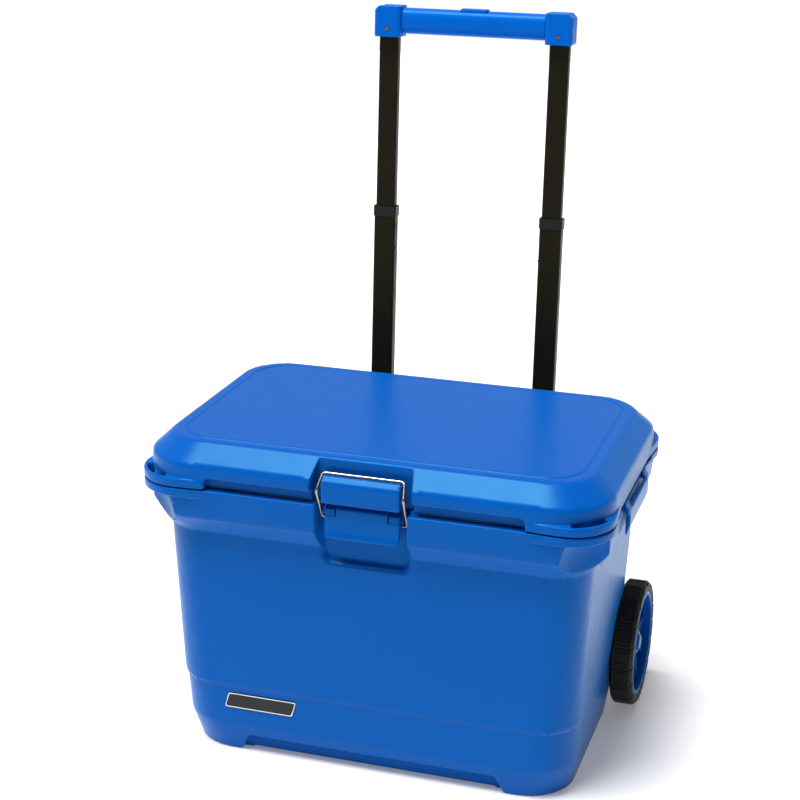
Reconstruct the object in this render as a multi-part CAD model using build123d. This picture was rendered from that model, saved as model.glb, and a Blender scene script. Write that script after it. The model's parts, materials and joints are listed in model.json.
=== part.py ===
from build123d import *
import math
import os

# A wheeled hard cooler with a two-stage pull handle. Millimetres, +Z up, +X to the
# right as seen from the latch side, -Y to the front. Z = 0 is the ground.
# Lengths along Y are first given from the middle of the lid, then every piece is
# moved by Y_MID so that the origin sits under the middle of the whole object.

# ---- driving dimensions: heights -------------------------------------------
LID_TOP = 464.0          # flat top of the closed lid
LID_EDGE = 437.0         # widest line of the lid, foot of its top chamfer
LID_BOTTOM = 406.0       # lower edge of the lid skirt
RIM_TOP = 404.0          # top face of the tub rim
BAND_BOTTOM = 364.0      # lower edge of the rim band
SHOULDER = 337.0         # foot of the sloping shoulder
WAIST = 106.5            # small step in the tub wall
BEVEL = 48.0             # start of the lower bevel
FOOT_LIFT = 2.5          # underside between the feet above the ground

# ---- driving dimensions: plan half sizes (x, y) ------------------------------
LID_FLAT = (290.0, 184.4)
LID_WIDE = (317.7, 212.1)
GROOVE = (274.9, 170.6)
RIM_HALF = (317.5, 211.9)
BAND_HALF = (315.0, 209.4)
WALL_TOP = (293.1, 187.5)
WALL_WAIST = (283.6, 178.0)
WALL_BELOW = (281.0, 175.4)
WALL_BEVEL = (277.5, 171.9)
WALL_FOOT = (272.0, 158.6)
CAVITY_TOP = (259.0, 153.0)
CAVITY_FLOOR = (243.0, 138.0)
FLOOR_Z = 40.0           # inside floor of the liner
SKIN = 4.0               # outer plastic wall
LINER = 3.0              # inner plastic wall
GAP = 0.15               # fitting gap between pieces of one body

# ---- pull handle -------------------------------------------------------------
TUBE_X = 127.0           # tube centres either side of the middle
TUBE_Y = 278.4           # tube centre at the height of the lid top
LEAN = 2.17              # the tubes lean back by this many degrees
INNER_TUBE = (29.0, 15.5)
MID_TUBE = (33.0, 19.0)
MID_TOP = 226.0          # along the handle, from the height of the lid top
MID_LENGTH = 360.0
INNER_LENGTH = 347.0
GRIP_BOTTOM = 479.0
GRIP_TOP = 523.5

# ---- wheels --------------------------------------------------------------------
WHEEL_R = 92.0
WHEEL_Y = 171.0
TYRE_IN = 282.0
TYRE_OUT = 315.5
AXLE_R = 6.0

# ---- lid hinge, latch and side handles -------------------------------------------
HINGE_Y = 200.0
HINGE_Z = 417.0
LEVER_Y = -196.0
LEVER_Z = 392.0
WIRE_Y = -192.0          # pivot of the wire in the lever
WIRE_Z = 383.0
WIRE_R = 2.2
CARRY_X = 315.0
CARRY_Z = 399.2

# ---- middle of the whole object along Y ---------------------------------------------
LEAN_TAN = math.tan(math.radians(LEAN))
GRIP_DEEP = 36.0
REAR_MOST = TUBE_Y + GRIP_TOP * LEAN_TAN + GRIP_DEEP / 2
EAR_R = 61.5             # radius of the corner loops, about a point 57 mm in from the rim
FRONT_MOST = -(RIM_HALF[1] - 57 + EAR_R)
Y_MID = (REAR_MOST + FRONT_MOST) / 2


def outline(half, z, r_front, r_back=None):
    """Rounded rectangle at height z, with its own radius for the back corners."""
    face = Rectangle(2 * half[0], 2 * half[1])
    back = face.vertices().filter_by(lambda v: v.Y > 0)
    face = fillet(back, r_front if r_back is None else r_back)
    front = [v for v in face.vertices() if abs(v.X) > half[0] - 0.01 and v.Y < -half[1] + 0.01]
    return Pos(0, 0, z) * fillet(front, r_front)


def ruled(*faces):
    return loft(list(faces), ruled=True)


def block(x0, x1, y0, y1, z0, z1):
    cx, cy, cz = (x0 + x1) / 2, (y0 + y1) / 2, (z0 + z1) / 2
    return Pos(cx, cy, cz) * Box(x1 - x0, y1 - y0, z1 - z0)


def rod_x(x0, x1, y, z, r):
    return Pos((x0 + x1) / 2, y, z) * Rot(0, 90, 0) * Cylinder(r, x1 - x0)


def rod_y(x, y0, y1, z, r):
    return Pos(x, (y0 + y1) / 2, z) * Rot(90, 0, 0) * Cylinder(r, y1 - y0)


def prism_x(points, x0, x1):
    """Solid with a cross-section in the YZ plane, running along X."""
    face = make_face(Polyline(*[(0, y, z) for y, z in points], close=True))
    return Pos(x0, 0, 0) * extrude(face, x1 - x0, dir=(1, 0, 0))


def prism_y(points, y0, y1):
    """Solid with a cross-section in the XZ plane, running along Y."""
    face = make_face(Polyline(*[(x, 0, z) for x, z in points], close=True))
    return Pos(0, y0, 0) * extrude(face, y1 - y0, dir=(0, 1, 0))


def both_sides(shape):
    return shape + mirror(shape, about=Plane.YZ)


def shrink(half, by):
    return (half[0] - by, half[1] - by)


# ---------------------------------------------------------------- tub ----
def tub_outer():
    return ruled(
        outline(WALL_FOOT, 0, 68, 50),
        outline(WALL_BEVEL, BEVEL, 56, 36),
        outline(WALL_BELOW, WAIST - 2, 56, 36),
        outline(WALL_WAIST, WAIST + 2, 56, 36),
        outline(WALL_TOP, SHOULDER, 56, 36),
        outline(BAND_HALF, BAND_BOTTOM, 57, 50),
        outline(RIM_HALF, RIM_TOP, 58, 56),
    )


def latch_pocket():
    def opening(hw, bottom, y):
        face = make_face(Polyline((-hw, 0, bottom), (hw, 0, bottom), (hw, 0, 440),
                                  (-hw, 0, 440), close=True))
        low = [v for v in face.vertices() if v.Z < bottom + 1]
        return Pos(0, y, 0) * fillet(low, 14)
    deep = opening(58, 320, -178)
    wide = opening(62.5, 313, -192)
    # the lower edge is eased where it meets the wall
    lip = loft([opening(59.9, 317, -182.6), opening(64, 310.6, -189)], ruled=True)
    lip &= block(-80, 80, -200, -170, 300, 336)
    return loft([deep, wide], ruled=True) + extrude(wide, 40, dir=(0, -1, 0)) + lip


def corner_scoops():
    ball = Pos(352.6, 246.6, 350) * Sphere(100)
    slab = block(150, 420, 100, 350, 300, 390.5)
    one = ball & slab
    pair = one + mirror(one, about=Plane.YZ)
    return pair + mirror(pair, about=Plane.XZ)


def side_recesses():
    """Finger room behind each carry handle, and the notch its knuckles sit in."""
    low = prism_y([(287, 361), (340, 361), (340, 318), (292.3, 318), (287, 326)], -88, 88)
    gap = block(305, 340, -120, 120, RIM_TOP - 3, RIM_TOP + 5)
    cut = low + gap
    for y in (-64, 64):
        cut += block(308.5, 340, y - 10.5, y + 10.5, 392.6, RIM_TOP + 5)
    return both_sides(cut)


def tub_room():
    """Space between the outer wall and the liner, filled by foam."""
    wall = ruled(
        outline(shrink(WALL_FOOT, 5), 9, 62, 44),
        outline(shrink(WALL_BEVEL, SKIN), BEVEL, 52, 32),
        outline(shrink(WALL_BELOW, SKIN), WAIST - 2, 52, 32),
        outline(shrink(WALL_TOP, SKIN), SHOULDER, 52, 32),
        outline(shrink(WALL_TOP, SKIN), RIM_TOP + 1, 52, 32),
    )
    band = ruled(
        outline(shrink(BAND_HALF, 9), 369, 140),
        outline(shrink(RIM_HALF, 17), RIM_TOP + 1, 140),
    )
    room = wall + band
    room -= block(-70, 70, -260, -173, 305, 420)
    room -= both_sides(block(281, 340, -96, 96, 308, 372))
    room -= both_sides(block(301, 340, -126, 126, 360, 420))
    room -= both_sides(block(128, 172, 186, 260, 380, 420))
    room -= block(-300, 300, 147, 260, 72, 112)
    room -= rod_x(-300, -249, -60, 66, 27)
    room -= block(-194, 194, -260, -139, 0, 31)
    room -= both_sides(rod_x(276, 330, WHEEL_Y, WHEEL_R, 99))
    return room


def hinge_lugs(r, half, grow=0.0):
    lugs = None
    for x in (-150, 150):
        lug = rod_x(x - half, x + half, HINGE_Y, HINGE_Z, r)
        lug += block(x - half, x + half, HINGE_Y - r, HINGE_Y + r, RIM_TOP - 2 - grow, HINGE_Z)
        lugs = lug if lugs is None else lugs + lug
    return lugs


def tub_shell():
    # the rim's upper edge swells at the corners as the lid's skirt does
    outer = tub_outer() + extrude(ear_outline(RIM_TOP - 11.5), 11.5)
    shell = outer - tub_room()
    shell -= block(-176, 176, -200, 200, -1, FOOT_LIFT)
    front = prism_y([(-190, -1), (190, -1), (177, 27), (-177, 27)], -200, -149)
    shell -= front
    shell -= latch_pocket()
    shell -= corner_scoops()
    shell -= side_recesses()
    # shallow hollows for the inner shoulders of the tyres
    shell -= both_sides(rod_x(280, 330, WHEEL_Y, WHEEL_R, 95))
    # axle beam across the lower back
    beam = block(-274, 274, 150, 190, 76, 108)
    shell += beam
    shell -= rod_x(-300, 300, WHEEL_Y, WHEEL_R, AXLE_R + 0.05)
    # hinge lugs of the lid
    shell += hinge_lugs(8, 12)
    shell -= rod_x(-170, 170, HINGE_Y, HINGE_Z, 2.55)
    # lever posts in the latch pocket
    for x in (-53.25, 53.25):
        post = prism_x([(-176, 388), (-176, 402), (-194, 399), (-201.5, 395), (-202, 389.5),
                        (-198.5, 386.2), (-190, 388)], x - 1.75, x + 1.75)
        shell += post
    shell -= rod_x(-62, 62, LEVER_Y, LEVER_Z, 1.55)
    # pins of the carry handles run in the rim
    for side in (-1, 1):
        for y in (-64, 64):
            shell -= rod_y(side * CARRY_X, y - 18, y + 18, CARRY_Z, 1.7)
    # drain opening low on the left side
    shell -= rod_x(-300, -240, -60, 66, 14)
    # shallow seat for the front badge
    shell -= badge_plate(0.3)
    return shell


def tub_liner():
    cup = ruled(
        outline(shrink(CAVITY_FLOOR, -LINER), FLOOR_Z - LINER, 39),
        outline(shrink(CAVITY_TOP, -LINER), RIM_TOP - LINER, 43),
    )
    flange = extrude(outline(shrink(RIM_HALF, 18), RIM_TOP - LINER, 140), LINER)
    flange -= block(-70 - GAP, 70 + GAP, -260, -173 + GAP, 305, 420)
    flange -= both_sides(block(301 - GAP, 340, -126 - GAP, 126 + GAP, 360, 420))
    flange -= both_sides(block(128 - GAP, 172 + GAP, 186 - GAP, 260, 380, 420))
    hollow = ruled(
        outline(CAVITY_FLOOR, FLOOR_Z, 36),
        outline(CAVITY_TOP, RIM_TOP + 1, 40),
    )
    liner = cup + flange - hollow
    liner -= rod_x(-270, -235, -60, 66, 14)
    return liner


def tub_foam():
    foam = tub_room()
    foam -= block(-400, 400, -400, 400, RIM_TOP - LINER - GAP, RIM_TOP + 20)
    foam -= ruled(
        outline(shrink(CAVITY_FLOOR, -LINER - GAP), FLOOR_Z - LINER - GAP, 39),
        outline(shrink(CAVITY_TOP, -LINER - GAP), RIM_TOP - LINER, 43),
    )
    foam -= rod_x(-300, -235, -60, 66, 17)
    return foam


def drain_tube():
    """Sleeve through the wall for the drain."""
    sleeve = rod_x(-281, -246, -60, 66, 13.8)
    return sleeve - rod_x(-300, -240, -60, 66, 10)


def badge_plate(extra=0.0):
    """Slanted name-free plate low on the front wall, on the sloping wall face."""
    pts = [(-208.5, 71), (-200, 95), (-101.5, 95), (-110, 71)]
    face = make_face(Polyline(*[(x, 0, z) for x, z in pts], close=True))
    face = fillet(face.vertices(), 4)
    plate = extrude(face, 1.2 + extra, dir=(0, 1, 0))
    lean = math.degrees(math.atan((WALL_BELOW[1] - WALL_BEVEL[1]) / (WAIST - 2 - BEVEL)))
    wall_y = -(WALL_BEVEL[1] + (83 - BEVEL) * (WALL_BELOW[1] - WALL_BEVEL[1]) / (WAIST - 2 - BEVEL))
    plate = Pos(0, 0, -83) * plate
    return Pos(0, wall_y - 0.9, 83) * Rot(lean, 0, 0) * plate


# ---------------------------------------------------------------- lid ----
def ear_outline(z):
    """Skirt outline whose four corners swell outwards into tie-down loops."""
    base = outline(RIM_HALF, 0, 58)
    ears = None
    cx, cy, r = RIM_HALF[0] - 57, RIM_HALF[1] - 57, EAR_R
    bump = make_hull([Pos(cx, cy) * Edge.make_circle(r),
                      Edge.make_line((200, RIM_HALF[1]), (200, 150)),
                      Edge.make_line((RIM_HALF[0], 95), (260, 95))])
    pair = bump + mirror(bump, about=Plane.YZ)
    ears = pair + mirror(pair, about=Plane.XZ)
    return Pos(0, 0, z) * (base + ears)


def lid_room():
    room = ruled(
        outline((302, 197), LID_BOTTOM - 1, 80),
        outline((307, 202), LID_EDGE - 2, 84),
        outline((285.5, 180), LID_TOP - SKIN, 60),
    )
    room -= block(-74, 74, -260, -182, 400, 470)
    room -= both_sides(block(56, 221, -260, -197, 400, 425.5))
    for x in (-150, 150):
        room -= block(x - 17, x + 17, 186, 260, 400, 431)
    return room


def lid_notch():
    pts = [(-69, 400), (-69, 436), (-60.8, 470), (60.8, 470), (69, 436), (69, 400)]
    return prism_y(pts, -260, -187.5)


def keeper():
    pts = [(-186, 408.5), (-211.8, 408.5), (-212.8, 409.5), (-212.8, 436.9), (-205, 444.7),
           (-202.8, 444.7), (-202.8, 441.0), (-186, 441.0)]
    return prism_x(pts, -53, 53)


def lid_shell():
    outer = extrude(ear_outline(LID_BOTTOM), 12)
    outer += ruled(
        outline(LID_WIDE, LID_BOTTOM + 11, 80),
        outline(LID_WIDE, LID_EDGE - 2, 82),
        outline(shrink(LID_WIDE, 1.2), LID_EDGE + 1.6, 81),
        outline(shrink(LID_FLAT, -1.6), LID_TOP - 1.8, 63),
        outline(shrink(LID_FLAT, 2.4), LID_TOP, 60),
    )
    shell = outer - lid_room()
    ring = outline(GROOVE, LID_TOP - 1.8, 50) - outline(shrink(GROOVE, 2.2), LID_TOP - 1.8, 48)
    shell -= extrude(ring, 3)
    # room for straps in the corner loops
    cx, cy = RIM_HALF[0] - 57, RIM_HALF[1] - 57
    ring = Circle(56.5) - Circle(47.2)
    wedge = make_face(Polyline((0, 0), (110, 30), (110, 110), (30, 110), close=True))
    slot = Pos(cx, cy, 400) * extrude(ring & wedge, 30)
    pair = slot + mirror(slot, about=Plane.YZ)
    slots = pair + mirror(pair, about=Plane.XZ)
    keep = ruled(outline(LID_WIDE, LID_BOTTOM + 11, 80), outline(LID_WIDE, LID_EDGE, 80))
    shell -= slots - keep
    # finger recesses along the front skirt
    for side in (-1, 1):
        face = make_face(Polyline((side * 60, 0, 400), (side * 217, 0, 400),
                                  (side * 217, 0, 421.5), (side * 60, 0, 421.5), close=True))
        far = [v for v in face.vertices() if abs(v.X) > 200 and v.Z > 410]
        shell -= Pos(0, -201, 0) * extrude(fillet(far, 8), 60, dir=(0, -1, 0))
    shell -= lid_notch()
    shell += keeper()
    # the back lower edge is rounded about the hinge line
    heel = block(-400, 400, HINGE_Y, 260, 390, HINGE_Z) - rod_x(-400, 400, HINGE_Y, HINGE_Z, 12.4)
    shell -= heel
    # the back corner loops stop short, so that they clear the rim as the lid swings
    shell -= block(-400, 400, LID_WIDE[1] + 0.1, 260, 390, LID_BOTTOM + 19)
    shell -= hinge_lugs(9, 13, 10)
    for x in (-150, 150):
        shell -= block(x - 13, x + 13, HINGE_Y - 9, 260, 392, HINGE_Z + 9)
    shell -= rod_x(-170, 170, HINGE_Y, HINGE_Z, 2.57)
    return shell


def lid_liner():
    plate = extrude(outline((302 - GAP, 197 - GAP), LID_BOTTOM, 80), LINER)
    plate -= block(-74 - GAP, 74 + GAP, -260, -182 + GAP, 400, 470)
    for x in (-150, 150):
        plate -= block(x - 17 - GAP, x + 17 + GAP, 186 - GAP, 260, 400, 431)
    plug = ruled(outline((250, 144), 394, 36), outline((255, 149), LID_BOTTOM, 40))
    dish = ruled(outline((247, 141), 394 + LINER, 34), outline((252, 146), LID_BOTTOM + 6, 38))
    return plate + plug - dish


def lid_foam():
    foam = lid_room()
    foam -= block(-400, 400, -400, 400, 390, LID_BOTTOM + LINER + GAP)
    return foam


def lid_gasket():
    ring = outline((282, 176), RIM_TOP + 0.25, 62) - outline((274, 168), RIM_TOP + 0.25, 54)
    return extrude(ring, LID_BOTTOM - RIM_TOP - 0.25)


def hinge_pins():
    return rod_x(-166, -134, HINGE_Y, HINGE_Z, 2.5) + rod_x(134, 166, HINGE_Y, HINGE_Z, 2.5)


# -------------------------------------------------------------- latch ----
def latch_lever():
    """Pull lever: plate with knuckles at the top corners and a finger lip below."""
    plate = prism_x([(-205, 400), (-201.5, 402.5), (-196.5, 401), (-196.5, 366), (-201, 360),
                     (-206, 358.5), (-207.5, 361), (-205, 367)], -35, 35)
    lower = prism_x([(-205, 389), (-196.5, 389), (-196.5, 366), (-201, 360), (-206, 358.5),
                     (-207.5, 361), (-205, 367)], -50.8, 50.8)
    face = make_face(Polyline((-50.8, 0, 358), (50.8, 0, 358), (50.8, 0, 390), (-50.8, 0, 390),
                              close=True))
    low = [v for v in face.vertices() if v.Z < 359]
    lower &= Pos(0, -190, 0) * extrude(fillet(low, 9), 20, dir=(0, -1, 0))
    lever = plate + lower
    for side in (-1, 1):
        x0, x1 = sorted((side * 36.4, side * 51.0))
        lever += block(x0, x1, -203.8, -196, 390.4, 399.2)
        x0, x1 = sorted((side * 34, side * 51.2))
        lever += rod_x(x0, x1, LEVER_Y, LEVER_Z, 4.6)
        x0, x1 = sorted((side * 41, side * 50))
        lever += prism_x([(-204, 392), (-196, 392), (-188.5, 386), (-188.5, 380), (-192, 377.5),
                          (-204, 372)], x0, x1)
    lever -= rod_x(-60, 60, LEVER_Y, LEVER_Z, 1.57)
    lever -= rod_x(-60, 60, WIRE_Y, WIRE_Z, 3.03)
    return lever


def latch_pin():
    pins = None
    for side in (-1, 1):
        x0, x1 = sorted((side * 36, side * 55.2))
        pin = rod_x(x0, x1, LEVER_Y, LEVER_Z, 1.5)
        pins = pin if pins is None else pins + pin
    return pins


def latch_bushes():
    bushes = None
    for side in (-1, 1):
        x0, x1 = sorted((side * 42, side * 49.5))
        bush = rod_x(x0, x1, WIRE_Y, WIRE_Z, 2.95) - rod_x(x0 - 1, x1 + 1, WIRE_Y, WIRE_Z, 2.27)
        bushes = bush if bushes is None else bushes + bush
    return bushes


def latch_wire():
    top, kink = (-197.6, 445.4), (-213.5, 425.5)
    pts = [(43, WIRE_Y, WIRE_Z), (58.2, WIRE_Y, WIRE_Z), (58.8, kink[0], kink[1]),
           (55, top[0], top[1]), (-55, top[0], top[1]), (-58.8, kink[0], kink[1]),
           (-58.2, WIRE_Y, WIRE_Z), (-43, WIRE_Y, WIRE_Z)]
    path = FilletPolyline(*pts, radius=5)
    start = Plane(origin=path @ 0, z_dir=path % 0)
    return sweep(start * Circle(WIRE_R), path=path)


# ------------------------------------------------------- carry handles ----
def carry_handle(side):
    """Swing handle on the rim: a curved plate hung on two knuckles."""
    pts = [(318.7, 394.2), (324.2, 394.2), (325.2, 392.5), (325.2, 372), (320.6, 357.8),
           (318.7, 357.8)]
    plate = prism_y(pts, -68, 68)
    hand = prism_y([(300, 371), (319.9, 371), (319.9, 350), (300, 350)], -50, 50)
    handle = plate - hand
    for y in (-64, 64):
        handle += rod_y(CARRY_X, y - 10, y + 10, CARRY_Z, 5.4)
        handle += prism_y([(CARRY_X + 3.4, 395.5), (CARRY_X + 4.9, CARRY_Z + 1),
                           (324.2, 394.2), (324.2, 388), (318.7, 388), (318.7, 394)],
                          y - 10, y + 10)
        handle -= rod_y(CARRY_X, y - 12, y + 12, CARRY_Z, 1.67)
    if side < 0:
        handle = mirror(handle, about=Plane.YZ)
    return handle


def carry_pins():
    pins = None
    for side in (-1, 1):
        for y in (-64, 64):
            pin = rod_y(side * CARRY_X, y - 17, y + 17, CARRY_Z, 1.6)
            pins = pin if pins is None else pins + pin
    return pins


# -------------------------------------------------------- pull handle ----
def lean(shape):
    """Place a shape drawn along +Z onto the leaning line of the tubes."""
    return Pos(0, TUBE_Y, LID_TOP) * Rot(-LEAN, 0, 0) * shape


def tube(size, wall, s0, s1, r):
    outer = RectangleRounded(size[0], size[1], r)
    inner = RectangleRounded(size[0] - 2 * wall, size[1] - 2 * wall, max(r - wall, 0.6))
    return Pos(0, 0, s0) * extrude(outer - inner, s1 - s0)


def inner_tube(side):
    body = tube(INNER_TUBE, 1.3, GRIP_TOP - 20 - INNER_LENGTH, GRIP_TOP - 20, 3)
    return lean(Pos(side * TUBE_X, 0, 0) * body)


def mid_tube(side):
    body = tube(MID_TUBE, 1.3, MID_TOP - MID_LENGTH, MID_TOP, 3.5)
    return lean(Pos(side * TUBE_X, 0, 0) * body)


def tube_collar(side):
    """Plastic collar pressed over the top of the outer tube."""
    outer = RectangleRounded(MID_TUBE[0] + 2.4, MID_TUBE[1] + 2.4, 4)
    hole = RectangleRounded(MID_TUBE[0] + 0.1, MID_TUBE[1] + 0.1, 3.5)
    bore = RectangleRounded(INNER_TUBE[0] + 0.8, INNER_TUBE[1] + 0.8, 3.2)
    body = Pos(0, 0, MID_TOP - 12) * extrude(outer - hole, 12)
    body += Pos(0, 0, MID_TOP) * extrude(outer - bore, 3)
    return lean(Pos(side * TUBE_X, 0, 0) * body)


def mid_bridge():
    """Cross piece that joins the two outer tubes at their lower ends."""
    s0 = MID_TOP - MID_LENGTH
    bar = Pos(0, 0, s0 + 9) * Box(2 * TUBE_X - MID_TUBE[0] - 0.2, 12, 14)
    plugs = None
    for side in (-1, 1):
        plug = Pos(side * TUBE_X, 0, s0 - 4) * extrude(RectangleRounded(*MID_TUBE, 3.5), 3.9)
        plugs = plug if plugs is None else plugs + plug
    arm = Pos(0, 0, s0 + 0) * Box(2 * TUBE_X + 6, 12, 7.9)
    arm -= both_sides(Pos(TUBE_X, 0, s0 + 10) * Box(MID_TUBE[0] + 0.2, MID_TUBE[1] + 1, 20))
    return lean(bar + plugs + arm)


def tube_stops():
    """Spring buttons that lock the stages, on the inner face of each outer tube."""
    pins = None
    for side in (-1, 1):
        x = side * (TUBE_X - MID_TUBE[0] / 2)
        x0, x1 = sorted((x + side * 1.3, x - side * 1.6))
        for s, r in ((MID_TOP - 61, 3.2), (MID_TOP - 26, 1.8)):
            pin = Pos((x0 + x1) / 2, 0, s) * Rot(0, 90, 0) * Cylinder(r, x1 - x0)
            pins = pin if pins is None else pins + pin
    return lean(pins)


def tube_stop_holes():
    holes = None
    for side in (-1, 1):
        x = side * (TUBE_X - MID_TUBE[0] / 2)
        for s, r in ((MID_TOP - 61, 3.2), (MID_TOP - 26, 1.8)):
            hole = Pos(x, 0, s) * Rot(0, 90, 0) * Cylinder(r + 0.05, 4)
            holes = hole if holes is None else holes + hole
    return lean(holes)


def grip_bar():
    section = RectangleRounded(28, 37, 12)
    half = TUBE_X - 20.1
    bar = Pos(-half, 0, (GRIP_BOTTOM + GRIP_TOP) / 2 + 1) * Rot(0, 90, 0) * Rot(0, 0, 90) \
        * extrude(section, 2 * half)
    hollow = Pos(-half + 3, 0, (GRIP_BOTTOM + GRIP_TOP) / 2 + 1) * Rot(0, 90, 0) \
        * Rot(0, 0, 90) * extrude(RectangleRounded(21, 30, 9), 2 * half - 6)
    slot = Pos(0, 0, GRIP_TOP) * Box(40.6, 15.6, 20)
    return lean(bar - hollow - slot)


def grip_cap(side):
    body = Pos(0, 0, GRIP_BOTTOM) * extrude(RectangleRounded(40, GRIP_DEEP, 5),
                                            GRIP_TOP - GRIP_BOTTOM)
    low, high = GRIP_BOTTOM - 1, GRIP_TOP
    body &= prism_y([(-21, low), (18, low), (20, low + 3), (20, high - 7), (13, high),
                     (-21, high)], -30, 30)
    seam = Pos(0, 0, (GRIP_BOTTOM + GRIP_TOP) / 2 - 3) * (
        Box(44, 40, 1.0) - Box(38.6, GRIP_DEEP - 1.4, 1.0))
    body -= seam
    well = Pos(0, 0, GRIP_TOP - 20 - INNER_LENGTH) * extrude(
        RectangleRounded(INNER_TUBE[0] + 0.2, INNER_TUBE[1] + 0.2, 3.1), INNER_LENGTH + 0.1)
    body -= well
    body -= Pos(0, -GRIP_DEEP / 2, GRIP_BOTTOM + 12) * Rot(90, 0, 0) * Cylinder(3.1, 3.2)
    if side < 0:
        body = mirror(body, about=Plane.YZ)
    return lean(Pos(side * TUBE_X, 0, 0) * body)


def grip_screws():
    screws = None
    for side in (-1, 1):
        head = Pos(side * TUBE_X, -GRIP_DEEP / 2 + 0.5, GRIP_BOTTOM + 12) * Rot(90, 0, 0) \
            * Cylinder(3.0, 2.0)
        head -= Pos(side * TUBE_X, -GRIP_DEEP / 2 - 0.4, GRIP_BOTTOM + 12) * Box(3.6, 1.0, 0.9)
        head -= Pos(side * TUBE_X, -GRIP_DEEP / 2 - 0.4, GRIP_BOTTOM + 12) * Box(0.9, 1.0, 3.6)
        screws = head if screws is None else screws + head
    return lean(screws)


def release_button():
    bar_top = (GRIP_BOTTOM + GRIP_TOP) / 2 + 1 + 18.5
    pad = Pos(0, 0, bar_top - 1.2) * Box(40, 15, 7.6)
    pad = fillet(pad.edges().filter_by(Axis.Z), 3)
    top = pad.faces().sort_by(Axis.Z)[-1]
    pad = fillet(top.edges(), 1.5)
    foot = Pos(0, 0, bar_top - 6.5) * Box(44, 12, 3)
    return lean(pad + foot)


# ------------------------------------------------------------ housing ----
def housing_solid(grow=0.0):
    """Back housing: two towers round the tubes joined by a shallower middle."""
    s0, s1 = -424 - grow, -66 + grow
    towers = None
    for side in (-1, 1):
        tower = Pos(side * TUBE_X, -24, s0) * extrude(
            RectangleRounded(54 + 2 * grow, 78 + 2 * grow, 9), s1 - s0)
        towers = tower if towers is None else towers + tower
    middle = Pos(0, -24, s0 + 6) * extrude(
        RectangleRounded(2 * TUBE_X, 72 + 2 * grow, 6), s1 - s0 - 12)
    return lean(towers + middle)


def handle_housing():
    body = housing_solid()
    back_wall = ruled(
        outline(WALL_BEVEL, 20, 56, 36),
        outline(WALL_BEVEL, BEVEL, 56, 36),
        outline(WALL_BELOW, WAIST - 2, 56, 36),
        outline(WALL_WAIST, WAIST + 2, 56, 36),
        outline(WALL_TOP, SHOULDER, 56, 36),
        outline(BAND_HALF, BAND_BOTTOM, 57, 50),
        outline(RIM_HALF, RIM_TOP + 2, 58, 56),
    )
    body -= back_wall
    body -= block(-276, 276, 100, 190.2, 75.8, 108.2)
    for side in (-1, 1):
        bore = Pos(side * TUBE_X, 0, -421) * extrude(
            RectangleRounded(MID_TUBE[0] + 0.8, MID_TUBE[1] + 0.8, 3.9), 400)
        body -= lean(bore)
    # slots that let the cross piece run, and hollows that keep the walls thin
    run = Pos(0, 0, -421 + 175) * Box(2 * TUBE_X, 14, 350)
    body -= lean(run)
    pass_x = TUBE_X - MID_TUBE[0] / 2 - 0.3
    body -= lean(both_sides(Pos(pass_x, 0, -68) * Box(4.4, 7.4, 20)))
    well = Pos(0, -39, -243) * Box(2 * TUBE_X - 62, 58, 334)
    body -= lean(well)
    for side in (-1, 1):
        core = Pos(side * TUBE_X, -37, -244) * Box(44, 46, 346)
        body -= lean(core)
    body -= both_sides(housing_screw_cut())
    return body


def housing_screw_cut():
    cut = None
    for s in (-90, -245, -400):
        hole = lean(Pos(60, 10.6, s) * Rot(90, 0, 0) * Cylinder(4.4, 3.2))
        cut = hole if cut is None else cut + hole
    return cut


def housing_screws():
    screws = None
    for s in (-90, -245, -400):
        head = Pos(60, 10.6, s) * Rot(90, 0, 0) * Cylinder(4.2, 3.0)
        head -= Pos(60, 12.0, s) * Box(5, 1.4, 1.1)
        head -= Pos(60, 12.0, s) * Box(1.1, 1.4, 5)
        screws = head if screws is None else screws + head
    return both_sides(lean(screws))


# ------------------------------------------------------------- wheels ----
def ring_solid(profile):
    """Turn a profile of (radius, x) points about the wheel axis."""
    face = make_face(Polyline(*[(x, 0, r) for r, x in profile], close=True))
    return revolve(face, Axis.X, 360)


def wheel_place(shape, side):
    shape = Pos(0, WHEEL_Y, WHEEL_R) * shape
    return shape if side > 0 else mirror(shape, about=Plane.YZ)


def wheel_rim(side):
    body = ring_solid([(77, 289), (77, 314), (75.5, 315), (71.5, 315), (71, 313.8),
                       (71, 291.5), (69.5, 290.6), (18, 293.5), (18, 306), (16, 308),
                       (6.07, 308), (6.07, 284.5), (11, 284.5), (16, 287.5), (71, 287.5),
                       (72, 289)])
    for k in range(9):
        for off in (-4.5, 4.5):
            rib = Pos(297.5, 0, 0) * Rot(k * 40, 0, 0) * Pos(0, off, 44.5) * Box(14, 2.6, 54.5)
            body += rib
    return wheel_place(body, side)


def tyre(side):
    body = ring_solid([(77.15, TYRE_IN), (88, TYRE_IN), (91, 285.5), (91, 312.5), (88, TYRE_OUT),
                       (80, TYRE_OUT), (77.15, 314.5)])
    blocks = None
    for k in range(18):
        tread = Pos((TYRE_IN + TYRE_OUT) / 2, 0, 91) * Box(21, 22, 2)
        tread = Rot(k * 20, 0, 0) * tread
        blocks = tread if blocks is None else blocks + tread
    body += blocks & Pos((TYRE_IN + TYRE_OUT) / 2, 0, 0) * Rot(0, 90, 0) * Cylinder(WHEEL_R, 40)
    return wheel_place(body, side)


def wheel_cap(side):
    body = ring_solid([(0, 311.5), (9, 311.5), (12.5, 309.5), (12.5, 308.2), (6.3, 308.2),
                       (6.3, 310), (0, 310)])
    return wheel_place(body, side)


def axle():
    body = rod_x(-307.5, 307.5, WHEEL_Y, WHEEL_R, AXLE_R)
    return chamfer(body.edges(), 0.8)


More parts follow.
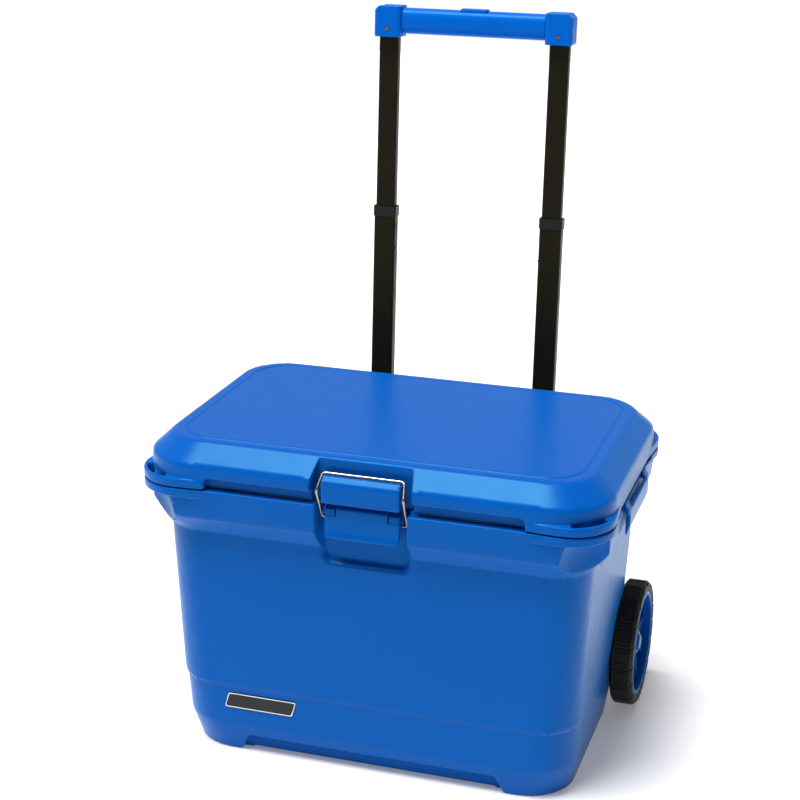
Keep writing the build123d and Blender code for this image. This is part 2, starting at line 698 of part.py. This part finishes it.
def axle_spacers():
    pair = None
    for side in (-1, 1):
        x0, x1 = sorted((side * 279.5, side * 284.2))
        piece = rod_x(x0, x1, WHEEL_Y, WHEEL_R, 11) - rod_x(x0 - 1, x1 + 1, WHEEL_Y, WHEEL_R, 6.05)
        pair = piece if pair is None else pair + piece
    return pair


def drain_plug():
    head = rod_x(-292, -283.5, -60, 66, 17)
    head = fillet(head.edges(), 1.5)
    head -= block(-293, -288, -77, -63.5, 40, 90)
    head -= block(-293, -288, -56.5, -43, 40, 90)
    stem = rod_x(-284, -262, -60, 66, 9.7)
    return head + stem


def build():
    nodes = {
        "tub_shell": tub_shell(),
        "tub_liner": tub_liner(),
        "tub_foam": tub_foam(),
        "drain_sleeve": drain_tube(),
        "drain_plug": drain_plug(),
        "front_badge": badge_plate(),
        "lid_hinge_pins": hinge_pins(),
        "lid_shell": lid_shell(),
        "lid_liner": lid_liner(),
        "lid_foam": lid_foam(),
        "lid_gasket": lid_gasket(),
        "latch_pins": latch_pin(),
        "latch_lever": latch_lever(),
        "latch_bushes": latch_bushes(),
        "latch_wire": latch_wire(),
        "carry_handle_right": carry_handle(1),
        "carry_handle_left": carry_handle(-1),
        "carry_pins": carry_pins(),
        "handle_housing": handle_housing(),
        "housing_screws": housing_screws(),
        "outer_tube_right": mid_tube(1) - tube_stop_holes(),
        "outer_tube_left": mid_tube(-1) - tube_stop_holes(),
        "tube_collar_right": tube_collar(1),
        "tube_collar_left": tube_collar(-1),
        "tube_bridge": mid_bridge(),
        "tube_stops": tube_stops(),
        "inner_tube_right": inner_tube(1),
        "inner_tube_left": inner_tube(-1),
        "grip_bar": grip_bar(),
        "grip_cap_right": grip_cap(1),
        "grip_cap_left": grip_cap(-1),
        "grip_screws": grip_screws(),
        "release_button": release_button(),
        "axle": axle(),
        "axle_spacers": axle_spacers(),
        "wheel_rim_right": wheel_rim(1),
        "wheel_rim_left": wheel_rim(-1),
        "tyre_right": tyre(1),
        "tyre_left": tyre(-1),
        "wheel_cap_right": wheel_cap(1),
        "wheel_cap_left": wheel_cap(-1),
    }
    return nodes


if __name__ == "__main__":
    os.makedirs("parts", exist_ok=True)
    for name, shape in build().items():
        export_step(Pos(0, -Y_MID, 0) * shape, f"parts/{name}.step")
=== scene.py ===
"""A wheeled hard cooler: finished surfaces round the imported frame.

Metres, +Z up, front towards -Y.
"""

import json
import math

import bpy
import numpy as np
import openvdb as vdb
from mathutils import Matrix, Vector
from mathutils.bvhtree import BVHTree
from mathutils.kdtree import KDTree

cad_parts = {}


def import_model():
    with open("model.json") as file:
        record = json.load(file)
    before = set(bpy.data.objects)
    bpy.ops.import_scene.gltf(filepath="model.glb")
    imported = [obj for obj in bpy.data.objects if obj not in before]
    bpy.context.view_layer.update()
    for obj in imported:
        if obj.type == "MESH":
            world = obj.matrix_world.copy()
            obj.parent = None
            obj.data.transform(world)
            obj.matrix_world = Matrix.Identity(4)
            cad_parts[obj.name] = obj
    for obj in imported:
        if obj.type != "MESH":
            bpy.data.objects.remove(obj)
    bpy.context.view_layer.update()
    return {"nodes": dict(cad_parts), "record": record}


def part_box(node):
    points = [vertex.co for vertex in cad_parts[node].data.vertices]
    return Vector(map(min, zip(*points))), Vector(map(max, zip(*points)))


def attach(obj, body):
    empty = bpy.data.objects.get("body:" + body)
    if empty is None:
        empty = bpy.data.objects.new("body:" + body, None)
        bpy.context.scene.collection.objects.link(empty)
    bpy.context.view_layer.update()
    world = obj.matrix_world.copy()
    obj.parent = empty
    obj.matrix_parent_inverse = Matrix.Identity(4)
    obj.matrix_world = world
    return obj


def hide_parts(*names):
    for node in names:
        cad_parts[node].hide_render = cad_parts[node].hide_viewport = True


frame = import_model()
NODES = frame["nodes"]
BODY_OF = {n: b for b, members in frame["record"]["behaviour"]["bodies"].items() for n in members}
SLOT_OF = {s["node"]: s["material_slot"] for s in frame["record"]["subparts"]}
COARSE = 1.0
MM = 0.001
FLAT_AREA = 250 * MM * MM     # a flat face is at least this large
REACH = 0.8 * MM              # how far a skin may lie from the face it belongs to
SHARP = 0.97                  # cosine of the bend that makes an edge
STRAY = 0.988                 # cosine beyond which a normal is wrong, away from edges


# ------------------------------------------------------------- meshes ----
def triangles(obj):
    """Vertices and triangles of a node."""
    mesh = obj.data
    points = np.empty(len(mesh.vertices) * 3, np.float32)
    mesh.vertices.foreach_get("co", points)
    mesh.calc_loop_triangles()
    faces = np.empty(len(mesh.loop_triangles) * 3, np.int32)
    mesh.loop_triangles.foreach_get("vertices", faces)
    return points.reshape(-1, 3), faces.reshape(-1, 3).astype(np.uint32)


def new_object(name, points, tris, quads):
    """Smooth-shaded object from arrays of triangles and quads."""
    mesh = bpy.data.meshes.new(name)
    corners = np.concatenate([quads.ravel(), tris.ravel()]).astype(np.int32)
    starts = np.concatenate([np.arange(len(quads)) * 4,
                             len(quads) * 4 + np.arange(len(tris)) * 3]).astype(np.int32)
    mesh.vertices.add(len(points))
    mesh.vertices.foreach_set("co", np.ascontiguousarray(points, np.float32).ravel())
    mesh.loops.add(len(corners))
    mesh.loops.foreach_set("vertex_index", corners)
    mesh.polygons.add(len(starts))
    mesh.polygons.foreach_set("loop_start", starts)
    mesh.update(calc_edges=True)
    mesh.validate()
    mesh.shade_smooth()
    obj = bpy.data.objects.new(name, mesh)
    bpy.context.scene.collection.objects.link(obj)
    return obj


def level_set(points, tris, quads, voxel, outside, inside):
    """Distance grid of a closed surface, kept this many voxels out and in."""
    scale = vdb.createLinearTransform(voxel)
    return vdb.FloatGrid.createLevelSetFromPolygons(points, tris if len(tris) else None,
                                                    quads if len(quads) else None,
                                                    scale, outside, inside)


def rounded(points, tris, voxel, r_out, r_in, adapt):
    """The same solid with outer edges rounded to r_out and inner ones to r_in."""
    grid = level_set(points, tris, (), voxel, 3.0, r_out / voxel + 3)
    shape = grid.convertToPolygons(-r_out, 0.0)
    grid = level_set(*shape, voxel, (r_out + r_in) / voxel + 3, 3.0)
    shape = grid.convertToPolygons(r_out + r_in, 0.0)
    grid = level_set(*shape, voxel, 3.0, r_in / voxel + 3)
    return grid.convertToPolygons(-r_in, adapt)


def face_data(points, tris):
    """Normals, and True for each triangle of a large flat face."""
    a, b, c = (points[tris[:, k]].astype(float) for k in range(3))
    cross = np.cross(b - a, c - a)
    size = np.linalg.norm(cross, axis=1)
    normal = cross / np.maximum(size, 1e-15)[:, None]
    offset = np.einsum("ij,ij->i", normal, a)
    key = np.round(np.column_stack([normal * 400, offset / (0.1 * MM)])).astype(int)
    _, group = np.unique(key, axis=0, return_inverse=True)
    area = np.bincount(group.ravel(), weights=size / 2)
    return normal, area[group.ravel()] > FLAT_AREA


def edge_tree(points, tris, normal):
    """Search tree of points along the sharp edges of a closed surface."""
    _, same = np.unique(np.round(points / (0.002 * MM)).astype(np.int64), axis=0,
                        return_inverse=True)
    ids = same.ravel()[tris]
    ends = np.concatenate([np.sort(ids[:, [k, (k + 1) % 3]], axis=1) for k in range(3)])
    raw = np.concatenate([tris[:, [k, (k + 1) % 3]] for k in range(3)])
    face = np.tile(np.arange(len(tris)), 3)
    order = np.lexsort((ends[:, 1], ends[:, 0]))
    ends, raw, face = ends[order], raw[order], face[order]
    pair = (ends[1:] == ends[:-1]).all(axis=1)
    bend = np.einsum("ij,ij->i", normal[face[1:]], normal[face[:-1]])
    sharp = np.flatnonzero(pair & (bend < SHARP) & (ends[1:, 0] != ends[1:, 1]))
    start, stop = points[raw[sharp, 0]].astype(float), points[raw[sharp, 1]].astype(float)
    steps = np.maximum(1, np.ceil(np.linalg.norm(stop - start, axis=1) / (0.6 * MM))).astype(int)
    which = np.repeat(np.arange(len(sharp)), steps)
    first = np.repeat(np.cumsum(steps) - steps, steps)
    share = ((np.arange(len(which)) - first + 0.5) / steps[which])[:, None]
    marks = start[which] * (1 - share) + stop[which] * share
    tree = KDTree(len(marks))
    for k, mark in enumerate(marks.tolist()):
        tree.insert(mark, k)
    tree.balance()
    return tree


def true_up(obj, points, tris, clear):
    """Away from edges, puts the points back on the node's faces, so only edges are soft."""
    mesh = obj.data
    face_normal, flat = face_data(points, tris)
    edges = edge_tree(points, tris, face_normal)
    tree = BVHTree.FromPolygons(points.tolist(), tris.tolist())
    count = len(mesh.vertices)
    place_at = np.empty(count * 3, np.float32)
    mesh.vertices.foreach_get("co", place_at)
    place_at = place_at.reshape(-1, 3)
    normals = np.empty(count * 3, np.float32)
    mesh.vertices.foreach_get("normal", normals)
    normals = normals.reshape(-1, 3)
    for k, here in enumerate(place_at.tolist()):
        near, _, face, gap = tree.find_nearest(here, REACH)
        if near is None:
            continue
        hold = min(max((edges.find(here)[2] / clear - 0.75) * 4, 0.0), 1.0)
        away = face_normal[face]
        if flat[face]:
            place_at[k] += (np.array(near) - place_at[k]) * hold
            normals[k] = normals[k] * (1 - hold) + away * hold
        elif hold == 1.0 and normals[k] @ away < STRAY:
            place_at[k] = near
            normals[k] = away
    mesh.vertices.foreach_set("co", place_at.ravel())
    mesh.update()
    normals /= np.linalg.norm(normals, axis=1)[:, None]
    mesh.normals_split_custom_set_from_vertices(normals.tolist())


def moulded(node, voxel, r_out, r_in, adapt=0.12):
    """A moulded copy of a node, with its edges rounded as a mould leaves them."""
    voxel, r_out, r_in = voxel * MM * COARSE, r_out * MM, r_in * MM
    points, tris = triangles(NODES[node])
    soft, soft_tris, quads = rounded(points, tris, voxel, r_out, r_in, adapt)
    obj = new_object(f"{node}_moulded", soft, soft_tris[:, ::-1], quads[:, ::-1])
    true_up(obj, points, tris, 1.4 * max(r_out, r_in) + 0.5 * voxel)
    place(obj, node)
    return obj


def place(obj, *nodes):
    """The piece rides on its node's body, stands for the node and takes its finish."""
    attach(obj, BODY_OF[nodes[0]])
    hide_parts(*nodes)
    obj.data.materials.append(FINISH[SLOT_OF[nodes[0]]])


# ---------------------------------------------------------- materials ----
def link(tree, source, output, target, socket):
    tree.links.new(source.outputs[output], target.inputs[socket])


def noise(tree, coord, scale, detail):
    node = tree.nodes.new("ShaderNodeTexNoise")
    node.inputs["Scale"].default_value = scale
    node.inputs["Detail"].default_value = detail
    link(tree, coord, "Object", node, "Vector")
    return node


def spread(tree, source, low, high):
    """Maps a noise around its middle onto low to high."""
    node = tree.nodes.new("ShaderNodeMapRange")
    node.inputs["From Min"].default_value = 0.3
    node.inputs["From Max"].default_value = 0.7
    node.inputs["To Min"].default_value = low
    node.inputs["To Max"].default_value = high
    link(tree, source, "Fac", node, "Value")
    return node


def bump(tree, source, output, depth, below=None):
    node = tree.nodes.new("ShaderNodeBump")
    node.inputs["Strength"].default_value = 1.0
    node.inputs["Distance"].default_value = depth
    link(tree, source, output, node, "Height")
    if below is not None:
        link(tree, below, "Normal", node, "Normal")
    return node


def surface(name, color, rough, vary=0.05, rough_vary=0.05, grain=((500, 0.00002), (1500, 0.00002)),
            metal=0.0, specular=0.5, tint=(1, 1, 1), streak=None, sheen=0.0):
    """Procedural finish: clouded colour and roughness, with a fine grain in the normal.

    Heights and the grain's scale are in metres and per metre.
    """
    mat = bpy.data.materials.new(name)
    mat.use_nodes = True
    tree = mat.node_tree
    shader = tree.nodes["Principled BSDF"]
    shader.inputs["Metallic"].default_value = metal
    shader.inputs["Specular IOR Level"].default_value = specular
    shader.inputs["Specular Tint"].default_value = (*tint, 1)
    shader.inputs["Sheen Weight"].default_value = sheen
    shader.inputs["Sheen Roughness"].default_value = 0.45
    shader.inputs["Sheen Tint"].default_value = (0.05, 0.6, 1.0, 1)
    coord = tree.nodes.new("ShaderNodeTexCoord")
    cloud = noise(tree, coord, 7.0, 3.0)
    mix = tree.nodes.new("ShaderNodeMix")
    mix.data_type = "RGBA"
    mix.inputs["A"].default_value = tuple(c * (1 - vary) for c in color) + (1,)
    mix.inputs["B"].default_value = tuple(c * (1 + vary) for c in color) + (1,)
    link(tree, cloud, "Fac", mix, "Factor")
    link(tree, mix, "Result", shader, "Base Color")
    handling = noise(tree, coord, 38.0, 4.0)
    gloss = spread(tree, handling, rough - rough_vary, rough + rough_vary)
    link(tree, gloss, "Result", shader, "Roughness")
    last = None
    if streak:
        stretch = tree.nodes.new("ShaderNodeMapping")
        stretch.inputs["Scale"].default_value = streak
        link(tree, coord, "Object", stretch, "Vector")
        brushed = tree.nodes.new("ShaderNodeTexNoise")
        brushed.inputs["Scale"].default_value = 1.0
        brushed.inputs["Detail"].default_value = 3.0
        link(tree, stretch, "Vector", brushed, "Vector")
        last = bump(tree, brushed, "Fac", 0.00001)
    for scale, depth in grain:
        last = bump(tree, noise(tree, coord, scale, 2.0), "Fac", depth, last)
    link(tree, last, "Normal", shader, "Normal")
    return mat


BLUE = (0.0, 0.077, 0.380)
GRIP_BLUE = (0.0, 0.115, 0.56)
COOL = (0.28, 1.0, 1.0)
WARM = (1.0, 0.86, 0.5)
FINE_GRAIN = ((420, 0.000006), (1300, 0.000005))    # (grains per metre, height) pairs
FINISH = {
    "body_blue": surface("moulded_blue", BLUE, 0.32, 0.03, 0.02, FINE_GRAIN,
                         specular=0.18, tint=COOL, sheen=0.2),
    "grip_blue": surface("grip_blue", GRIP_BLUE, 0.34, 0.03, 0.05, FINE_GRAIN,
                         specular=0.15, tint=COOL, sheen=0.1),
    "black_plastic": surface("black_plastic", (0.008, 0.008, 0.007), 0.42, specular=0.25),
    "tube_black": surface("coated_tube", (0.009, 0.0085, 0.005), 0.4, vary=0.1,
                          specular=0.13, tint=WARM, streak=(900, 900, 6)),
    "liner_white": surface("liner_white", (0.78, 0.80, 0.80), 0.3, vary=0.015),
    "foam": surface("foam", (0.80, 0.74, 0.52), 0.8, grain=((300, 0.0004), (900, 0.0002))),
    "rubber": surface("gasket_rubber", (0.03, 0.03, 0.03), 0.6),
    "steel": surface("brushed_steel", (0.33, 0.31, 0.27), 0.26, metal=1.0, streak=(60, 900, 900)),
    "badge": surface("badge_plate", (0.006, 0.007, 0.010), 0.3, specular=0.3),
    "tyre": surface("tyre_rubber", (0.012, 0.012, 0.011), 0.55, vary=0.15, specular=0.2,
                    grain=((350, 0.00006), (1200, 0.00004))),
}
PALE = surface("badge_border", (0.72, 0.74, 0.76), 0.35)


# --------------------------------------------------------- moulded skins ----
# node, voxel, outer and inner edge radius in millimetres, share of merging on even faces
moulded("lid_shell", 0.8, 0.7, 0.05, 0.2)
moulded("tub_shell", 1.1, 0.8, 0.2, 0.25)
moulded("handle_housing", 1.1, 1.3, 0.1, 0.25)
moulded("latch_lever", 0.55, 0.6, 0.2)
moulded("grip_bar", 0.8, 0.5, 0.5)
for side in ("left", "right"):
    moulded(f"carry_handle_{side}", 0.7, 0.9, 0.8)
    moulded(f"grip_cap_{side}", 0.6, 0.9, 0.2)
    moulded(f"wheel_rim_{side}", 0.9, 0.8, 0.8)
moulded("release_button", 0.6, 0.5, 0.3)
moulded("tub_liner", 2.3, 0.3, 5.0, 0.5)
moulded("lid_liner", 1.5, 0.3, 4.0)
moulded("drain_plug", 0.6, 0.8, 0.5)


# ---------------------------------------------------------------- tyres ----
def smooth_step(value, low, high):
    t = np.clip((value - low) / (high - low), 0, 1)
    return t * t * (3 - 2 * t)


def box_distance(u, v, half_u, half_v, corner):
    """Signed distance to a rounded rectangle, negative inside."""
    du = np.abs(u) - half_u + corner
    dv = np.abs(v) - half_v + corner
    outside = np.hypot(np.maximum(du, 0), np.maximum(dv, 0))
    return outside + np.minimum(np.maximum(du, dv), 0) - corner


def tyre(side):
    """Foamed tyre with outlined tread blocks and a notched outer shoulder."""
    sign = 1 if side == "right" else -1
    low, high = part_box(f"tyre_{side}")
    x_in, x_out = (low[0], high[0]) if sign > 0 else (high[0], low[0])
    y_mid, z_mid = (low[1] + high[1]) / 2, (low[2] + high[2]) / 2
    width = abs(x_out - x_in) * 1000
    rounds = 1080
    # closed cross-section as (radius, distance from the inner side), millimetres
    corners = [(77.15, 0.0), (87.2, 0.0), (90.9, 2.6), (90.9, width - 3.6), (87.6, width),
               (79.2, width), (77.15, width - 1.6)]
    section = []
    for (r0, x0), (r1, x1) in zip(corners, corners[1:] + corners[:1]):
        steps = max(1, round(math.hypot(r1 - r0, x1 - x0) / 0.62))
        section += [(r0 + (r1 - r0) * k / steps, x0 + (x1 - x0) * k / steps)
                    for k in range(steps)]
    section = np.array(section)
    for _ in range(2):
        section = (np.roll(section, 1, 0) + section * 2 + np.roll(section, -1, 0)) / 4
    radius, across = section[:, 0][None, :], section[:, 1][None, :]
    angle = np.linspace(0, 2 * math.pi, rounds, endpoint=False)[:, None]
    pitch = 2 * math.pi / 18
    around = (np.mod(angle + pitch / 2, pitch) - pitch / 2) * 91
    middle = width / 2 - 0.6
    on_tread = smooth_step(radius, 89.6, 90.6)
    block = box_distance(around, across - middle, 11.6, middle - 3.2, 2.6)
    lift = 1.05 * (1 - smooth_step(block, -0.5, 0.35))
    ring = np.abs(block + 3.4) - 0.55
    lift = lift - 0.85 * (1 - smooth_step(ring, -0.1, 0.55))
    between = np.abs(np.abs(around) - 91 * pitch / 2)
    bar = box_distance(between, across - middle, 1.3, middle - 4.6, 1.2)
    lift = (lift + 0.5 * (1 - smooth_step(bar, -0.3, 0.5))) * on_tread
    shoulder = smooth_step(across, width - 5.2, width - 3.4) * smooth_step(radius, 83.2, 84.4)
    notch = (1 - smooth_step(between, 2.3, 3.4)) * shoulder
    radius = radius + lift - 1.7 * notch
    across = across - 1.1 * notch * smooth_step(across, width - 3.0, width - 0.5)
    face = smooth_step(across, width - 0.6, width - 0.2)
    line = np.abs(section[:, 0][None, :] - 82.3) - 0.35
    across = across - 0.55 * face * (1 - smooth_step(line, -0.1, 0.5)) * np.ones_like(angle)
    radius = np.broadcast_to(radius, across.shape)
    x = x_in + sign * across * MM
    y = y_mid + np.sin(angle) * radius * MM
    z = z_mid + np.cos(angle) * radius * MM
    points = np.stack([x, y, z], -1).reshape(-1, 3)
    count = section.shape[0]
    i, j = np.meshgrid(np.arange(rounds), np.arange(count), indexing="ij")
    i2, j2 = (i + 1) % rounds, (j + 1) % count
    quads = np.stack([i * count + j, i * count + j2, i2 * count + j2, i2 * count + j], -1)
    quads = quads.reshape(-1, 4)
    if sign < 0:
        quads = quads[:, ::-1]
    obj = new_object(f"tyre_{side}_tread", points, np.zeros((0, 3), int), quads)
    place(obj, f"tyre_{side}")


tyre("right")
tyre("left")


# ---------------------------------------------------------------- badge ----
def badge_border():
    """Raised light frame round the plain front plate."""
    band = 0.6 * MM      # points this near the lower or upper edge belong to it
    short = 3.5 * MM     # the plate's corners are cut back by this at the acute corners
    blunt = 3.0 * MM     # and by this at the others
    round_off = 3.4 * MM
    plate = triangles(NODES["front_badge"])[0]
    foot = plate[plate[:, 2] < plate[:, 2].min() + band]
    head = plate[plate[:, 2] > plate[:, 2].max() - band]
    z0, z1 = plate[:, 2].min(), plate[:, 2].max()
    y0, y1 = foot[:, 1].min(), head[:, 1].min()
    left0, right0 = foot[:, 0].min() - short, foot[:, 0].max() + blunt
    left1, right1 = head[:, 0].min() - blunt, head[:, 0].max() + short

    def ring(inset, lift):
        """Rounded slanted outline at an inset from the plate's edge."""
        cut = inset * 1.06
        quad = [(left0 + cut, z0 + inset), (right0 - cut, z0 + inset),
                (right1 - cut, z1 - inset), (left1 + cut, z1 - inset)]
        out = []
        for k in range(4):
            here = Vector(quad[k])
            before = (Vector(quad[k - 1]) - here).normalized()
            after = (Vector(quad[(k + 1) % 4]) - here).normalized()
            for s in np.linspace(0, 1, 9):
                out.append(here + before * round_off * (1 - s) ** 2 + after * round_off * s ** 2)
        rows = []
        for p in out:
            t = (p[1] - z0) / (z1 - z0)
            rows.append((p[0], y0 + (y1 - y0) * t - lift, p[1]))
        return rows

    # (inset, height over the plate) round the frame's section, millimetres
    section = [(0.8, -0.2), (0.8, 0.2), (1.0, 0.32), (1.8, 0.32), (2.0, 0.2), (2.0, -0.2)]
    loops = [ring(inset * MM, lift * MM) for inset, lift in section]
    count = len(loops[0])
    points = np.array([p for loop in loops for p in loop])
    quads = []
    for a in range(len(loops)):
        b = (a + 1) % len(loops)
        for k in range(count):
            n = (k + 1) % count
            quads.append((a * count + k, b * count + k, b * count + n, a * count + n))
    obj = new_object("badge_border", points, np.zeros((0, 3), int), np.array(quads)[:, ::-1])
    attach(obj, "tub")
    obj.data.materials.append(PALE)


badge_border()

# every node that still shows gets its finish
for name, node in NODES.items():
    if not node.hide_render:
        node.data.materials.clear()
        node.data.materials.append(FINISH[SLOT_OF[name]])
        node.data.shade_smooth()
        node.data.set_sharp_from_angle(angle=math.radians(35))


# ---------------------------------------------------------------- stage ----
def floor():
    """A large pale sheet that glows faintly: painted light that keeps the shadows on it light."""
    points = np.array([(x, y, 0.0) for y in (-6, 7) for x in (-9, 9)])
    quads = np.array([(0, 1, 3, 2)])
    obj = new_object("floor_sheet", points, np.zeros((0, 3), int), quads)
    pale = surface("glowing_pale_floor", (0.8, 0.8, 0.8), 0.75, vary=0.01, specular=0.2)
    shader = pale.node_tree.nodes["Principled BSDF"]
    # painted light: the sheet glows white, so the shadows cast on it stay light
    shader.inputs["Emission Color"].default_value = (1, 1, 1, 1)
    shader.inputs["Emission Strength"].default_value = 0.18
    obj.data.materials.append(pale)


def broad_light(name, towards, spread_deg, power):
    """Large soft source, the same all over the floor, seen in this direction."""
    data = bpy.data.lights.new(name, "SUN")
    data.energy = power
    data.angle = math.radians(spread_deg)
    obj = bpy.data.objects.new(name, data)
    obj.location = Vector(towards) * 3
    obj.rotation_euler = (-Vector(towards)).to_track_quat("-Z", "Y").to_euler()
    bpy.context.scene.collection.objects.link(obj)


def world():
    """White to the eye, and a soft sky that is dimmer at the sides for the light."""
    sky = bpy.data.worlds.new("soft_studio")
    bpy.context.scene.world = sky
    sky.use_nodes = True
    tree = sky.node_tree
    back = tree.nodes["Background"]
    coord = tree.nodes.new("ShaderNodeTexCoord")
    split = tree.nodes.new("ShaderNodeVectorMath")
    split.operation = "DOT_PRODUCT"
    split.inputs[1].default_value = (-0.45, 0.85, 0.25)
    link(tree, coord, "Generated", split, "Vector")
    ramp = tree.nodes.new("ShaderNodeMapRange")
    ramp.interpolation_type = "SMOOTHSTEP"
    ramp.inputs["From Min"].default_value = -0.5
    ramp.inputs["From Max"].default_value = 0.9
    ramp.inputs["To Min"].default_value = 0.15
    ramp.inputs["To Max"].default_value = 0.42
    link(tree, split, "Value", ramp, "Value")
    rays = tree.nodes.new("ShaderNodeLightPath")
    mix = tree.nodes.new("ShaderNodeMix")
    mix.data_type = "RGBA"
    mix.inputs["B"].default_value = (1, 1, 1, 1)
    link(tree, rays, "Is Camera Ray", mix, "Factor")
    link(tree, ramp, "Result", mix, "A")
    link(tree, mix, "Result", back, "Color")
    back.inputs["Strength"].default_value = 1.0


def camera():
    yaw, pitch, roll = math.radians(17.1), math.radians(18.31), math.radians(0.81)
    back = Vector((math.sin(yaw) * math.cos(pitch), -math.cos(yaw) * math.cos(pitch),
                   math.sin(pitch)))
    right = Vector((math.cos(yaw), math.sin(yaw), 0))
    up = back.cross(right)
    c, s = math.cos(roll), math.sin(roll)
    axes = Matrix((right * c + up * s, up * c - right * s, back)).transposed()
    data = bpy.data.cameras.new("photo_view")
    data.lens = 81.23
    data.sensor_width = 36
    data.clip_end = 50
    obj = bpy.data.objects.new("photo_view", data)
    obj.matrix_world = Matrix.Translation((0.67978, -2.30270, 1.26685)) @ axes.to_4x4()
    bpy.context.scene.collection.objects.link(obj)
    bpy.context.scene.camera = obj


floor()
world()
camera()
broad_light("overhead", (-0.2, -0.24, 0.95), 30, 4.9)
bpy.context.scene.view_settings.view_transform = "Standard"

bpy.context.view_layer.update()
